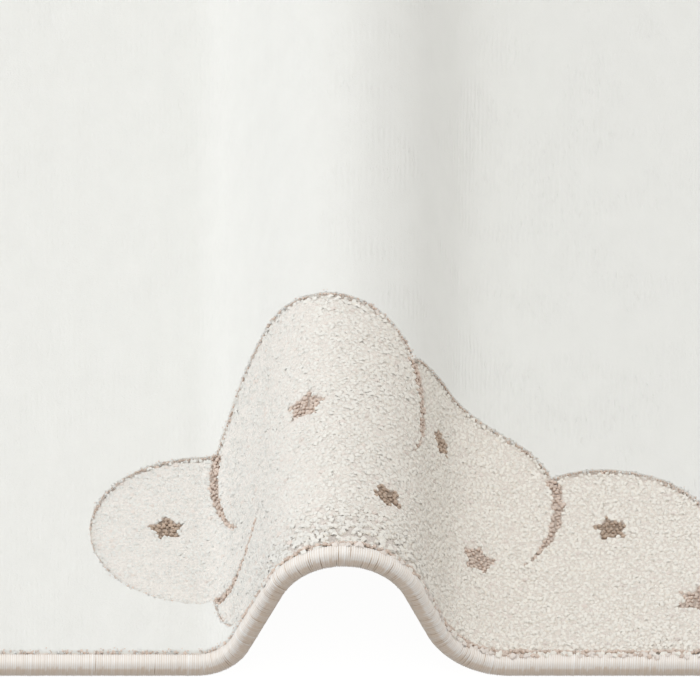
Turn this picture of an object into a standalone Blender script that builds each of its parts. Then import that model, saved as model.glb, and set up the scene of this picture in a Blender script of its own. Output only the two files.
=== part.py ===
"""Kids rug: a short plush rug with a lower, curly cloud on it and an overcast yarn edge.

It is 600 mm by 900 mm when laid flat, and lies here on a floor with one wave in it that runs from
the front short edge to the back one. Both solids are made flat first, sliced across and along the
wave, and then carried onto it. Lengths are in metres. Laid flat, u is the distance to the right of
the wave's crest line, v the distance from the front edge, and w the height above the underside.
"""

from collections import namedtuple
from math import cos, pi, radians, sin, sqrt

import bmesh
import bpy

# The rug laid flat
RUG_WIDTH = 0.600
RUG_LENGTH = 0.900
THICKNESS = 0.011
CORNER_RADIUS = 0.025
CORNER_STEPS = 6

# The binding, a round roll of yarn, and the bare edge of the backing that it holds
BINDING_ACROSS = THICKNESS
BINDING_SIDES = 16
BACKING_EDGE_THICK = 0.003
BACKING_EDGE_INSET = 0.0053
GAP = 0.0003

# The wave's section at the front edge, halfway and at the back edge: straight flanks at a slope in
# degrees run out of a round crest into round feet, and the crest line drifts a little to the right
Section = namedtuple(
    "Section", "height crest_radius left_foot right_foot left_slope right_slope crest_shift"
)
FRONT = Section(0.0755, 0.040, 0.026, 0.043, 64.8, 66.0, 0.0000)
MIDDLE = Section(0.0685, 0.044, 0.029, 0.043, 59.0, 60.0, 0.0022)
BACK = Section(0.0600, 0.048, 0.036, 0.050, 54.0, 54.0, 0.0030)

# Slices that let the flat solids bend: close together on the wave, and far apart elsewhere
WAVE_LEFT = -0.1170
WAVE_RIGHT = 0.1300
WAVE_SLICE = 0.0065
FLAT_SLICE = 0.060
FLAT_SLICES = 2
ROW_SLICE = 0.100

# The curly cloud, lower than the plush: round lobes on a straight base at the front edge
Lobe = namedtuple("Lobe", "u v radius")
CLOUD_LOBES = (
    Lobe(-0.112, 0.108, 0.060),
    Lobe(-0.058, 0.052, 0.046),
    Lobe(-0.028, 0.146, 0.076),
    Lobe(0.078, 0.128, 0.070),
    Lobe(0.172, 0.096, 0.062),
    Lobe(0.226, 0.052, 0.050),
)
CLOUD_BASE_LEFT = -0.058
CLOUD_BASE_RIGHT = 0.226
CLOUD_BASE_TOP = 0.092
CLOUD_DEPTH = 0.0015
LOBE_SIDES = 40
CUTTER_REACH = 0.010

# Colour and roughness of each material
PILE_COLOUR = (0.82, 0.80, 0.75, 1.0)
PILE_ROUGHNESS = 0.95
BINDING_COLOUR = (0.66, 0.58, 0.52, 1.0)
BINDING_ROUGHNESS = 0.75

# Points closer than this are one, flat faces that differ by less than this angle are one, and an
# edge sharper than the last angle is shaded sharp
MERGE = 0.00001
SAME_PLANE = radians(0.1)
SHARP_EDGE = radians(40)


def clear_scene():
    """Removes every object of the open scene."""
    for old in list(bpy.data.objects):
        bpy.data.objects.remove(old, do_unlink=True)


def new_collection(name):
    """A collection linked to the scene."""
    group = bpy.data.collections.new(name)
    bpy.context.scene.collection.children.link(group)
    return group


def principled(name, colour, roughness):
    """A matt material."""
    material = bpy.data.materials.new(name)
    material.use_nodes = True
    shader = material.node_tree.nodes["Principled BSDF"]
    shader.inputs["Base Color"].default_value = colour
    shader.inputs["Roughness"].default_value = roughness
    shader.inputs["Metallic"].default_value = 0.0
    return material


def section_at(v):
    """The wave's section at a distance from the front edge, blended smoothly through the three."""
    share = v / RUG_LENGTH
    at_front = (2 * share - 1) * (share - 1)
    at_middle = 4 * share * (1 - share)
    at_back = share * (2 * share - 1)
    return Section(*(
        at_front * front + at_middle * middle + at_back * back
        for front, middle, back in zip(FRONT, MIDDLE, BACK)
    ))


def down_the_flank(distance, height, crest_radius, foot_radius, slope):
    """Where the rug's mid-plane is at a distance from the crest line: how far out, how far down
    and at what tilt."""
    flank = (height - (crest_radius + foot_radius) * (1 - cos(slope))) / sin(slope)
    crest_end = crest_radius * slope
    foot_start = crest_end + flank
    foot_end = foot_start + foot_radius * slope
    if distance < crest_end:
        tilt = distance / crest_radius
        return crest_radius * sin(tilt), crest_radius * (1 - cos(tilt)), tilt
    on_flank = min(distance, foot_start) - crest_end
    out = crest_radius * sin(slope) + on_flank * cos(slope)
    down = crest_radius * (1 - cos(slope)) + on_flank * sin(slope)
    if distance < foot_start:
        return out, down, slope
    tilt = slope - (min(distance, foot_end) - foot_start) / foot_radius
    out += foot_radius * (sin(slope) - sin(tilt)) + max(distance - foot_end, 0.0)
    down += foot_radius * (cos(tilt) - cos(slope))
    return out, down, tilt


def onto_wave(u, v, w):
    """The place of a point of the flat rug once the rug lies in its wave."""
    section = section_at(v)
    if u < 0:
        side, foot, slope = -1, section.left_foot, section.left_slope
    else:
        side, foot, slope = 1, section.right_foot, section.right_slope
    out, down, tilt = down_the_flank(
        abs(u), section.height, section.crest_radius, foot, radians(slope)
    )
    above = w - THICKNESS / 2
    x = section.crest_shift + side * (out + above * sin(tilt))
    z = THICKNESS / 2 + section.height - down + above * cos(tilt)
    return x, v - RUG_LENGTH / 2, z


def rounded_outline(inset):
    """The points, anticlockwise, of the rug's outline moved inwards."""
    points = []
    middle_u = RUG_WIDTH / 2 - CORNER_RADIUS
    middle_v = RUG_LENGTH / 2 - CORNER_RADIUS
    radius = CORNER_RADIUS - inset
    for quarter, (right, back) in enumerate(((1, 1), (-1, 1), (-1, -1), (1, -1))):
        for step in range(CORNER_STEPS + 1):
            angle = (quarter + step / CORNER_STEPS) * pi / 2
            u = right * middle_u + radius * cos(angle)
            v = RUG_LENGTH / 2 + back * middle_v + radius * sin(angle)
            points.append((u, v))
    return points


def outline_curve(name, points, collection):
    """A flat closed curve through the points."""
    data = bpy.data.curves.new(name, "CURVE")
    data.dimensions = "2D"
    spline = data.splines.new("POLY")
    spline.points.add(len(points) - 1)
    for point, (across, along) in zip(spline.points, points):
        point.co = (across, along, 0.0, 1.0)
    spline.use_cyclic_u = True
    item = bpy.data.objects.new(name, data)
    collection.objects.link(item)
    return item


def to_mesh(item, name, collection):
    """A mesh object of the shape that an object shows, which it replaces."""
    shown = item.evaluated_get(bpy.context.evaluated_depsgraph_get())
    mesh = bpy.data.meshes.new_from_object(shown)
    mesh.name = name
    bm = bmesh.new()
    bm.from_mesh(mesh)
    bmesh.ops.remove_doubles(bm, verts=bm.verts, dist=MERGE)
    bmesh.ops.recalc_face_normals(bm, faces=bm.faces)
    bm.to_mesh(mesh)
    bm.free()
    place = item.matrix_world.copy()
    bpy.data.objects.remove(item, do_unlink=True)
    made = bpy.data.objects.new(name, mesh)
    made.matrix_world = place
    collection.objects.link(made)
    return made


def outline_slab(name, inset, low, high, collection):
    """A slab with the rug's outline moved inwards, from one height to another."""
    curve = outline_curve(name + "_outline", rounded_outline(inset), collection)
    curve.data.fill_mode = "BOTH"
    curve.data.extrude = (high - low) / 2
    curve.location.z = (high + low) / 2
    bpy.context.view_layer.update()
    return to_mesh(curve, name, collection)


def as_cutter(item):
    """Marks a helper shape."""
    item.hide_render = True
    item.display_type = "WIRE"
    return item


def boolean(item, other, operation):
    """Joins a helper shape to an object, or cuts it away."""
    modifier = item.modifiers.new(other.name, "BOOLEAN")
    modifier.operation = operation
    modifier.object = other


def cloud_cutters(collection):
    """A disc for each lobe of the cloud and a block for its base, reaching out of the top."""
    floor = THICKNESS - CLOUD_DEPTH
    height = CLOUD_DEPTH + CUTTER_REACH
    cutters = []
    for number, lobe in enumerate(CLOUD_LOBES, start=1):
        mesh = bpy.data.meshes.new(f"cloud_lobe_{number}")
        bm = bmesh.new()
        bmesh.ops.create_cone(
            bm, cap_ends=True, segments=LOBE_SIDES,
            radius1=lobe.radius, radius2=lobe.radius, depth=height,
        )
        bm.to_mesh(mesh)
        bm.free()
        disc = bpy.data.objects.new(mesh.name, mesh)
        disc.location = (lobe.u, lobe.v, floor + height / 2)
        collection.objects.link(disc)
        cutters.append(as_cutter(disc))
    front = -CUTTER_REACH
    mesh = bpy.data.meshes.new("cloud_base")
    bm = bmesh.new()
    bmesh.ops.create_cube(bm, size=1.0)
    size = (CLOUD_BASE_RIGHT - CLOUD_BASE_LEFT, CLOUD_BASE_TOP - front, height)
    bmesh.ops.scale(bm, vec=size, verts=bm.verts)
    bm.to_mesh(mesh)
    bm.free()
    block = bpy.data.objects.new(mesh.name, mesh)
    block.location = (
        (CLOUD_BASE_LEFT + CLOUD_BASE_RIGHT) / 2, (front + CLOUD_BASE_TOP) / 2, floor + height / 2
    )
    collection.objects.link(block)
    cutters.append(as_cutter(block))
    return cutters


def slices():
    """The lines across u and along v at which the flat solids are cut to let them bend."""
    count = round((WAVE_RIGHT - WAVE_LEFT) / WAVE_SLICE)
    columns = [WAVE_LEFT + WAVE_SLICE * step for step in range(count + 1)]
    columns += [WAVE_LEFT - FLAT_SLICE * (step + 1) for step in range(FLAT_SLICES)]
    columns += [WAVE_RIGHT + FLAT_SLICE * (step + 1) for step in range(FLAT_SLICES)]
    rows = [ROW_SLICE * step for step in range(1, round(RUG_LENGTH / ROW_SLICE))]
    return columns, rows


def lay_in_wave(item, shift):
    """Slices a flat mesh, carries its points onto the wave and moves it sideways."""
    columns, rows = slices()
    bm = bmesh.new()
    bm.from_mesh(item.data)
    bmesh.ops.transform(bm, matrix=item.matrix_world, verts=bm.verts)
    bmesh.ops.dissolve_limit(bm, angle_limit=SAME_PLANE, verts=bm.verts, edges=bm.edges)
    planes = [((column, 0, 0), (1, 0, 0)) for column in columns]
    planes += [((0, row, 0), (0, 1, 0)) for row in rows]
    for place, normal in planes:
        every = bm.verts[:] + bm.edges[:] + bm.faces[:]
        bmesh.ops.bisect_plane(bm, geom=every, dist=MERGE, plane_co=place, plane_no=normal)
    for vertex in bm.verts:
        x, y, z = onto_wave(*vertex.co)
        vertex.co = (x + shift, y, z)
    bmesh.ops.triangulate(bm, faces=bm.faces)
    bmesh.ops.recalc_face_normals(bm, faces=bm.faces)
    bm.to_mesh(item.data)
    bm.free()
    item.location = (0, 0, 0)
    item.data.shade_smooth()
    item.data.set_sharp_from_angle(angle=SHARP_EDGE)


def sideways_shift():
    """How far the rug moves sideways so that its outline is centred on the origin."""
    across = [onto_wave(u, v, THICKNESS / 2)[0] for u, v in rounded_outline(0.0)]
    return -(min(across) + max(across)) / 2


def binding_profile(collection):
    """The binding's section: a round roll with a slot at its inner side for the backing's edge.
    Along an anticlockwise path, +X of a section is its inner side."""
    turn = 2 * pi / BINDING_SIDES
    radius = BINDING_ACROSS / 2 / cos(turn / 2)
    slot_half = BACKING_EDGE_THICK / 2 + GAP
    slot_end = BACKING_EDGE_INSET - GAP - BINDING_ACROSS / 2
    mouth = sqrt((BINDING_ACROSS / 2) ** 2 - slot_half ** 2)
    points = [(slot_end, slot_half), (mouth, slot_half)]
    points += [
        (radius * cos((step + 0.5) * turn), radius * sin((step + 0.5) * turn))
        for step in range(1, BINDING_SIDES - 1)
    ]
    points += [(mouth, -slot_half), (slot_end, -slot_half)]
    return as_cutter(outline_curve("binding_profile", points, collection))


def rug_body(parts, helpers):
    """The backing with its pile, with a bare edge all round and the cloud cut lower."""
    edge_low = (THICKNESS - BACKING_EDGE_THICK) / 2
    pile_inset = BINDING_ACROSS + GAP
    body = outline_slab("rug_body", pile_inset, 0.0, THICKNESS, parts)
    edge = outline_slab(
        "backing_edge", BACKING_EDGE_INSET, edge_low, THICKNESS - edge_low, helpers
    )
    boolean(body, as_cutter(edge), "UNION")
    for cutter in cloud_cutters(helpers):
        boolean(body, cutter, "DIFFERENCE")
    bpy.context.view_layer.update()
    return to_mesh(body, "rug_body", parts)


def edge_binding(parts, helpers):
    """The roll of yarn, carried round the rug's outline."""
    path = outline_curve("binding_path", rounded_outline(BINDING_ACROSS / 2), parts)
    path.data.bevel_mode = "OBJECT"
    path.data.bevel_object = binding_profile(helpers)
    path.location.z = THICKNESS / 2
    bpy.context.view_layer.update()
    return to_mesh(path, "edge_binding", parts)


def main():
    clear_scene()
    parts = new_collection("kids_rug")
    helpers = new_collection("kids_rug_helpers")
    body = rug_body(parts, helpers)
    binding = edge_binding(parts, helpers)
    shift = sideways_shift()
    for item in (body, binding):
        lay_in_wave(item, shift)
    body.data.materials.clear()
    body.data.materials.append(principled("plush_pile", PILE_COLOUR, PILE_ROUGHNESS))
    binding.data.materials.clear()
    binding.data.materials.append(
        principled("overcast_yarn", BINDING_COLOUR, BINDING_ROUGHNESS)
    )


main()
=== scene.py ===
"""A kids rug with short plush pile, a lower curly cloud and an overcast yarn edge.

The rug is 600 mm by 900 mm laid flat and lies here with one standing wave from front to back.
Every piece is made flat and then carried onto the wave. Laid flat, u is the distance to the right
of the wave's crest line, v the distance from the front edge and w the height above the underside,
all in metres.
"""

from collections import namedtuple
from math import cos, pi, radians, sin

import bpy
import numpy as np
from mathutils import Matrix, Vector


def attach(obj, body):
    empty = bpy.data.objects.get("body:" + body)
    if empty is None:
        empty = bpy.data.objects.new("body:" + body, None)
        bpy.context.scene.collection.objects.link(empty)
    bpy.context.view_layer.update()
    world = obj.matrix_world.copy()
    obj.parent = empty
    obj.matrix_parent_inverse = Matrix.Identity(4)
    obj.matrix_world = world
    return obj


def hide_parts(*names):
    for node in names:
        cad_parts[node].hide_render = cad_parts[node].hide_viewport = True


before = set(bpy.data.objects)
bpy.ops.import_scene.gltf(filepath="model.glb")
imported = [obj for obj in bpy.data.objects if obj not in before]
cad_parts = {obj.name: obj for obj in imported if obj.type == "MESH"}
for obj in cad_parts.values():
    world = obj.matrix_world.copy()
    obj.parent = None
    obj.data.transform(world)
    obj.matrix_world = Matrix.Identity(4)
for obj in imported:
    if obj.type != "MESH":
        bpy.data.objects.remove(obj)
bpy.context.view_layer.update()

bl_info = {
    "name": "Kids Rug",
    "version": (1, 0, 0),
    "blender": (4, 5, 0),
    "location": "View3D > Sidebar > Kids Rug",
    "description": "Builds a plush kids rug with a curly cloud and an overcast yarn edge",
    "category": "Add Mesh",
}

MM = 0.001
TOUCH = 0.0001
BODY = "root"
PHOTO_SIDE = 700

# How far light reaches into yarn, and how dull yarn is
LIGHT_REACH = 0.0008
DULL = 0.2

# Steps along the rug's outline: coarse ones only to centre the rug, at a height above the floor
TRACK_STEP = 0.010
TRACK_CORNER_STEP = 0.0003
COARSE_STEP = 0.050
COARSE_CORNER_STEP = 0.0066
COARSE_HEIGHT = 0.006

# The wave's section at the front edge, halfway and at the back edge: straight flanks at a slope in
# degrees run out of a round crest into round feet, and the crest line drifts a little to the right
Section = namedtuple(
    "Section", "height crest_radius left_foot right_foot left_slope right_slope crest_shift"
)
FRONT = Section(0.0755, 0.040, 0.026, 0.043, 64.8, 66.0, 0.0000)
MIDDLE = Section(0.0685, 0.044, 0.029, 0.043, 59.0, 60.0, 0.0022)
BACK = Section(0.0600, 0.048, 0.036, 0.050, 54.0, 54.0, 0.0030)

# The cloud: round lobes on a straight base at the front edge
Lobe = namedtuple("Lobe", "u v radius")
CLOUD_LOBES = (
    Lobe(-0.112, 0.108, 0.060),
    Lobe(-0.058, 0.052, 0.046),
    Lobe(-0.028, 0.146, 0.076),
    Lobe(0.078, 0.128, 0.070),
    Lobe(0.172, 0.096, 0.062),
    Lobe(0.226, 0.052, 0.050),
)
CLOUD_BASE_LEFT = -0.058
CLOUD_BASE_RIGHT = 0.226
CLOUD_BASE_TOP = 0.092

# Where a lobe's round carries on inside the cloud: the lobe and the angles, in degrees, from the
# outline to the free end
Swirl = namedtuple("Swirl", "lobe start end")
SWIRLS = (
    Swirl(0, -82.0, -28.0),
    Swirl(2, 164.0, 222.0),
    Swirl(2, 31.0, -26.0),
    Swirl(3, 19.0, -38.0),
    Swirl(4, 5.0, -48.0),
)

# The yarns of the curly pile
CREAM, ROSE, BROWN, BLUSH = range(4)

# Small stars in the cloud: where, how far the points reach, a turn in degrees, and the yarn
Star = namedtuple("Star", "u v reach turn yarn")
STARS = (
    Star(-0.131, 0.112, 0.0105, 8.0, BROWN),
    Star(-0.020, 0.132, 0.0120, -10.0, ROSE),
    Star(0.070, 0.150, 0.0100, 20.0, BROWN),
    Star(0.104, 0.082, 0.0120, -6.0, ROSE),
    Star(0.022, 0.058, 0.0095, 30.0, BROWN),
    Star(0.176, 0.112, 0.0105, 12.0, BROWN),
    Star(0.222, 0.054, 0.0110, -16.0, ROSE),
)
STAR_NOTCH = 0.60
OUTLINE_WIDTH = 0.0010
OUTLINE_PITCH = 0.0015
SWIRL_WIDTH = 0.0068
SWIRL_END = 1.06

# Where the pile has opened: an oval over the wave's front edge, and a strip at the rim
OPEN_HALF_WIDTH = 0.062
OPEN_DEPTH = 0.034
OPEN_REACH = 1.35
OPEN_RIM = 0.0115
OPEN_RIM_WIDTH = 0.006
OPEN_AT_RIM = 0.5

# How many sides the tubes of curls and tufts have
TUBE_SIDES = 4

# A curl: degrees along its arch, its thickness from end to end, and how much curls differ
CURL_ARCH = (-20, 200)
CURL_TAPER = (0.72, 1.0, 1.08, 1.0, 0.72)
CURL_RINGS = len(CURL_TAPER)
CURL_TOP = 1.25
CURL_TWIST = 0.9
CURL_WAVE = 0.5
CURL_LIFTS = (0.75, 1.15)
CURL_LEAN = 0.75
CURL_FOOT = 0.0002
CURL_THICKNESS = (0.85, 1.2)


class RugShape(bpy.types.PropertyGroup):
    """Sizes of the rug and its binding."""
    width: bpy.props.FloatProperty(
        name="Width", description="Across the rug, laid flat", default=0.600, unit="LENGTH"
    )
    length: bpy.props.FloatProperty(
        name="Length", description="Along the rug, laid flat", default=0.900, unit="LENGTH"
    )
    thickness: bpy.props.FloatProperty(
        name="Thickness", description="Backing and pile together", default=0.011, unit="LENGTH"
    )
    corner_radius: bpy.props.FloatProperty(
        name="Corner radius", description="Round of the outer corners", default=0.025,
        unit="LENGTH",
    )
    backing_thickness: bpy.props.FloatProperty(
        name="Backing", description="Thickness of the woven backing", default=0.0025,
        unit="LENGTH",
    )
    yarn_pitch: bpy.props.FloatProperty(
        name="Yarn pitch", description="Distance from turn to turn of the binding's yarn",
        default=0.00115, unit="LENGTH",
    )
    yarn_relief: bpy.props.FloatProperty(
        name="Yarn relief", description="How far a turn of yarn stands above its grooves",
        default=0.00024, unit="LENGTH",
    )


class RugPile(bpy.types.PropertyGroup):
    """Sizes of the plush and of the curly pile."""
    plush_height: bpy.props.FloatProperty(
        name="Plush height", description="Top of the plush above the underside",
        default=0.0112, unit="LENGTH",
    )
    ground_height: bpy.props.FloatProperty(
        name="Ground height", description="What shows between the curls, above the underside",
        default=0.0088, unit="LENGTH",
    )
    tuft_row: bpy.props.FloatProperty(
        name="Tuft row", description="Distance between the plush's tuft rows", default=0.0029,
        unit="LENGTH",
    )
    curl_spacing: bpy.props.FloatProperty(
        name="Curl spacing", description="Distance between curls", default=0.0026,
        unit="LENGTH",
    )
    curl_size: bpy.props.FloatProperty(
        name="Curl size", description="Radius of a curl's bend", default=0.00064,
        unit="LENGTH",
    )
    curl_yarn: bpy.props.FloatProperty(
        name="Curl yarn", description="Radius of the yarn in a curl", default=0.00104,
        unit="LENGTH",
    )


class RugColours(bpy.types.PropertyGroup):
    """Colours of the yarns."""
    plush: bpy.props.FloatVectorProperty(
        name="Plush", description="Off-white of the plush", subtype="COLOR", size=3,
        default=(0.822, 0.826, 0.796), min=0, max=1,
    )
    cream: bpy.props.FloatVectorProperty(
        name="Cream", description="Cream of the curls on the left", subtype="COLOR", size=3,
        default=(0.880, 0.877, 0.836), min=0, max=1,
    )
    # Painted shade: the curls turn warmer on the right, where less light falls
    warm_cream: bpy.props.FloatVectorProperty(
        name="Warm cream", description="Cream of the curls on the right", subtype="COLOR",
        size=3, default=(0.965, 0.928, 0.855), min=0, max=1,
    )
    blush: bpy.props.FloatVectorProperty(
        name="Blush", description="Pale rose of the stray curls", subtype="COLOR", size=3,
        default=(0.89, 0.82, 0.76), min=0, max=1,
    )
    rose: bpy.props.FloatVectorProperty(
        name="Rose", description="Dusty rose of the outline and some stars", subtype="COLOR",
        size=3, default=(0.83, 0.70, 0.61), min=0, max=1,
    )
    brown: bpy.props.FloatVectorProperty(
        name="Brown", description="Light brown of the other stars", subtype="COLOR", size=3,
        default=(0.62, 0.49, 0.39), min=0, max=1,
    )
    ground: bpy.props.FloatVectorProperty(
        name="Ground", description="Yarn roots between the curls on the left", subtype="COLOR",
        size=3, default=(0.91, 0.875, 0.825), min=0, max=1,
    )
    # Painted shade: the roots are darker and warmer on the right, where less light falls
    warm_ground: bpy.props.FloatVectorProperty(
        name="Warm ground", description="Yarn roots between the curls on the right",
        subtype="COLOR", size=3, default=(0.87, 0.81, 0.74), min=0, max=1,
    )
    binding: bpy.props.FloatVectorProperty(
        name="Binding", description="Warm beige of the binding's yarn", subtype="COLOR", size=3,
        default=(0.925, 0.88, 0.84), min=0, max=1,
    )
    jute: bpy.props.FloatVectorProperty(
        name="Jute", description="Woven backing", subtype="COLOR", size=3,
        default=(0.58, 0.49, 0.36), min=0, max=1,
    )


class RugStage(bpy.types.PropertyGroup):
    """The floor, the lights and the camera."""
    elevation: bpy.props.FloatProperty(
        name="Elevation", description="Camera's angle above the floor", default=radians(40),
        subtype="ANGLE",
    )
    lens: bpy.props.FloatProperty(
        name="Lens", description="Focal length of the camera in millimetres", default=1500.0
    )
    pixels_per_mm: bpy.props.FloatProperty(
        name="Pixels per mm", description="Scale of the picture at the front edge", default=1.9
    )
    crest_pixel: bpy.props.FloatProperty(
        name="Crest pixel", description="Column of the picture that shows the wave's crest",
        default=343.3,
    )
    edge_pixel: bpy.props.FloatProperty(
        name="Edge pixel", description="Row of the picture that shows the front binding's middle",
        default=664.8,
    )
    key_power: bpy.props.FloatProperty(
        name="Key light", description="Power of the low light on the left in watts",
        default=39.0,
    )
    top_power: bpy.props.FloatProperty(
        name="Top light", description="Power of the light overhead in watts", default=16.5
    )
    sky_strength: bpy.props.FloatProperty(
        name="Sky", description="Strength of the light from all round", default=0.85
    )
    ground_strength: bpy.props.FloatProperty(
        name="Ground light", description="Strength of the light from below", default=0.35
    )


def section_at(v):
    """The wave's section at distances from the front edge, blended through the three."""
    share = v / bpy.context.scene.rug_shape.length
    at_front = (2 * share - 1) * (share - 1)
    at_middle = 4 * share * (1 - share)
    at_back = share * (2 * share - 1)
    return Section(*(
        at_front * front + at_middle * middle + at_back * back
        for front, middle, back in zip(FRONT, MIDDLE, BACK)
    ))


def onto_wave(points):
    """The places, before centring, of points (u, v, w) once the rug lies in its wave."""
    shape = bpy.context.scene.rug_shape
    u, v, w = np.asarray(points, float).T
    section = section_at(v)
    left = u < 0
    side = np.where(left, -1.0, 1.0)
    foot_radius = np.where(left, section.left_foot, section.right_foot)
    slope = np.radians(np.where(left, section.left_slope, section.right_slope))
    crest_radius = section.crest_radius
    flank = section.height - (crest_radius + foot_radius) * (1 - np.cos(slope))
    flank = flank / np.sin(slope)
    distance = np.abs(u)
    crest_end = crest_radius * slope
    on_crest = np.minimum(distance, crest_end) / crest_radius
    on_flank = np.clip(distance - crest_end, 0, flank)
    on_foot = np.clip(distance - crest_end - flank, 0, foot_radius * slope)
    foot_tilt = slope - on_foot / foot_radius
    beyond = np.maximum(distance - crest_end - flank - foot_radius * slope, 0)
    out = crest_radius * np.sin(on_crest) + on_flank * np.cos(slope) + beyond
    out += foot_radius * (np.sin(slope) - np.sin(foot_tilt))
    down = crest_radius * (1 - np.cos(on_crest)) + on_flank * np.sin(slope)
    down += foot_radius * (np.cos(foot_tilt) - np.cos(slope))
    tilt = np.where(distance < crest_end, on_crest, foot_tilt)
    above = w - shape.thickness / 2
    x = section.crest_shift + side * (out + above * np.sin(tilt))
    z = shape.thickness / 2 + section.height - down + above * np.cos(tilt)
    return np.stack([x, v - shape.length / 2, z], axis=1)


def rounded_path(inset, spacing, corner_spacing):
    """Points (u, v) anticlockwise round the rug's outline moved inwards, and the outward
    directions there. The path starts at the left end of the front edge."""
    shape = bpy.context.scene.rug_shape
    radius = shape.corner_radius - inset
    half_u = shape.width / 2 - shape.corner_radius
    half_v = shape.length / 2 - shape.corner_radius
    corners = ((half_u, -half_v), (half_u, half_v), (-half_u, half_v), (-half_u, -half_v))
    points, outwards = [], []
    last = corners[-1]
    for quarter, corner in enumerate(corners):
        facing = (quarter - 1) * pi / 2
        out = np.array([cos(facing), sin(facing)])
        run = np.array(corner) - np.array(last)
        count = max(1, round(np.linalg.norm(run) / spacing))
        shares = np.arange(count) / count
        points.append(np.array(last) + shares[:, None] * run + radius * out)
        outwards.append(np.tile(out, (count, 1)))
        steps = max(1, round(radius * pi / 2 / corner_spacing))
        angles = facing + np.arange(steps) / steps * pi / 2
        around = np.stack([np.cos(angles), np.sin(angles)], axis=1)
        points.append(np.array(corner) + radius * around)
        outwards.append(around)
        last = corner
    points = np.concatenate(points) + np.array([0.0, shape.length / 2])
    return points, np.concatenate(outwards)


def outline_track(inset):
    """Closely spaced points and outward directions round the outline moved inwards, closed,
    and its length."""
    path, outwards = rounded_path(inset, TRACK_STEP, TRACK_CORNER_STEP)
    path = np.concatenate([path, path[:1]])
    outwards = np.concatenate([outwards, outwards[:1]])
    return path, outwards, np.linalg.norm(np.diff(path, axis=0), axis=1).sum()


def outline_at(inset, places):
    """Points and outward directions at distances along the outline moved inwards."""
    path, outwards, _ = outline_track(inset)
    steps = np.linalg.norm(np.diff(path, axis=0), axis=1)
    along = np.concatenate([[0.0], np.cumsum(steps)])
    points = np.stack([np.interp(places, along, path[:, axis]) for axis in (0, 1)], axis=1)
    out = np.stack([np.interp(places, along, outwards[:, axis]) for axis in (0, 1)], axis=1)
    return points, out / np.linalg.norm(out, axis=1, keepdims=True)


def sideways_shift():
    """How far the rug moves sideways so that its outline is centred on the origin."""
    path, _ = rounded_path(0.0, COARSE_STEP, COARSE_CORNER_STEP)
    across = onto_wave(np.column_stack([path, np.full(len(path), COARSE_HEIGHT)]))[:, 0]
    return -(across.min() + across.max()) / 2


def soft_noise(u, v, lump, seed):
    """Smooth random values from -1 to 1 over the flat rug, in lumps of about a given size."""
    cells = 128
    table = np.random.default_rng(seed).uniform(-1, 1, (cells, cells))
    across, along = u / lump, v / lump
    column, row = np.floor(across).astype(int), np.floor(along).astype(int)
    s, t = across - column, along - row
    s, t = s * s * (3 - 2 * s), t * t * (3 - 2 * t)
    column, row = column % cells, row % cells
    right, back = (column + 1) % cells, (row + 1) % cells
    front_edge = table[column, row] * (1 - s) + table[right, row] * s
    back_edge = table[column, back] * (1 - s) + table[right, back] * s
    return front_edge * (1 - t) + back_edge * t


def uneven(u, v, most, lump, seed):
    """Smooth random distances over the flat rug, up to a most either way."""
    return most * soft_noise(u, v, lump, seed)


def outline_depth(u, v, inset):
    """How far a point lies inside the rug's outline moved inwards."""
    shape = bpy.context.scene.rug_shape
    radius = shape.corner_radius - inset
    from_side = np.abs(u) - (shape.width / 2 - shape.corner_radius)
    from_end = np.abs(v - shape.length / 2) - (shape.length / 2 - shape.corner_radius)
    outside = np.hypot(np.maximum(from_side, 0), np.maximum(from_end, 0))
    inside = np.minimum(np.maximum(from_side, from_end), 0)
    return radius - outside - inside


def cloud_distance(u, v):
    """How far a point lies outside the cloud, or inside it if below 0."""
    apart = [np.hypot(u - lobe.u, v - lobe.v) - lobe.radius for lobe in CLOUD_LOBES]
    middle = (CLOUD_BASE_LEFT + CLOUD_BASE_RIGHT) / 2
    sideways = np.abs(u - middle) - (CLOUD_BASE_RIGHT - CLOUD_BASE_LEFT) / 2
    apart.append(np.maximum(sideways, v - CLOUD_BASE_TOP))
    return np.min(apart, axis=0)


def cloud_outline(pitch, beyond):
    """Points along the cloud's outline, moved outwards by a distance, and the directions from
    there into the cloud."""
    points, inwards = [], []
    for lobe in CLOUD_LOBES:
        angles = np.arange(round(2 * pi * lobe.radius / pitch)) * pitch / lobe.radius
        away = np.stack([np.cos(angles), np.sin(angles)], axis=1)
        points.append(np.array([lobe.u, lobe.v]) + away * (lobe.radius + beyond))
        inwards.append(-away)
    points, inwards = np.concatenate(points), np.concatenate(inwards)
    shown = cloud_distance(points[:, 0], points[:, 1]) > beyond - TOUCH
    return points[shown], inwards[shown]


def in_swirl(u, v, swirl):
    """Which points lie in a swirl's band, which narrows to its free end."""
    lobe = CLOUD_LOBES[swirl.lobe]
    span = swirl.end - swirl.start
    angle = np.degrees(np.arctan2(v - lobe.v, u - lobe.u)) - swirl.start
    share = np.mod(angle * np.sign(span), 360) / abs(span)
    half = SWIRL_WIDTH / 2 * np.sqrt(np.clip(SWIRL_END - share, 0, 1))
    near = np.abs(np.hypot(u - lobe.u, v - lobe.v) - lobe.radius) < half
    return near & (share < SWIRL_END)


def in_star(u, v, star):
    """Which points lie in a five-pointed star."""
    sector = 2 * pi / 5
    angle = np.arctan2(v - star.v, u - star.u) - radians(star.turn + 90)
    from_point = np.abs(np.mod(angle / sector + 0.5, 1) - 0.5) * sector
    notch = star.reach * STAR_NOTCH
    notch_u, notch_v = notch * cos(sector / 2), notch * sin(sector / 2)
    edge = star.reach * notch_v / (
        notch_v * np.cos(from_point) + (star.reach - notch_u) * np.sin(from_point)
    )
    return np.hypot(u - star.u, v - star.v) < edge


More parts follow.
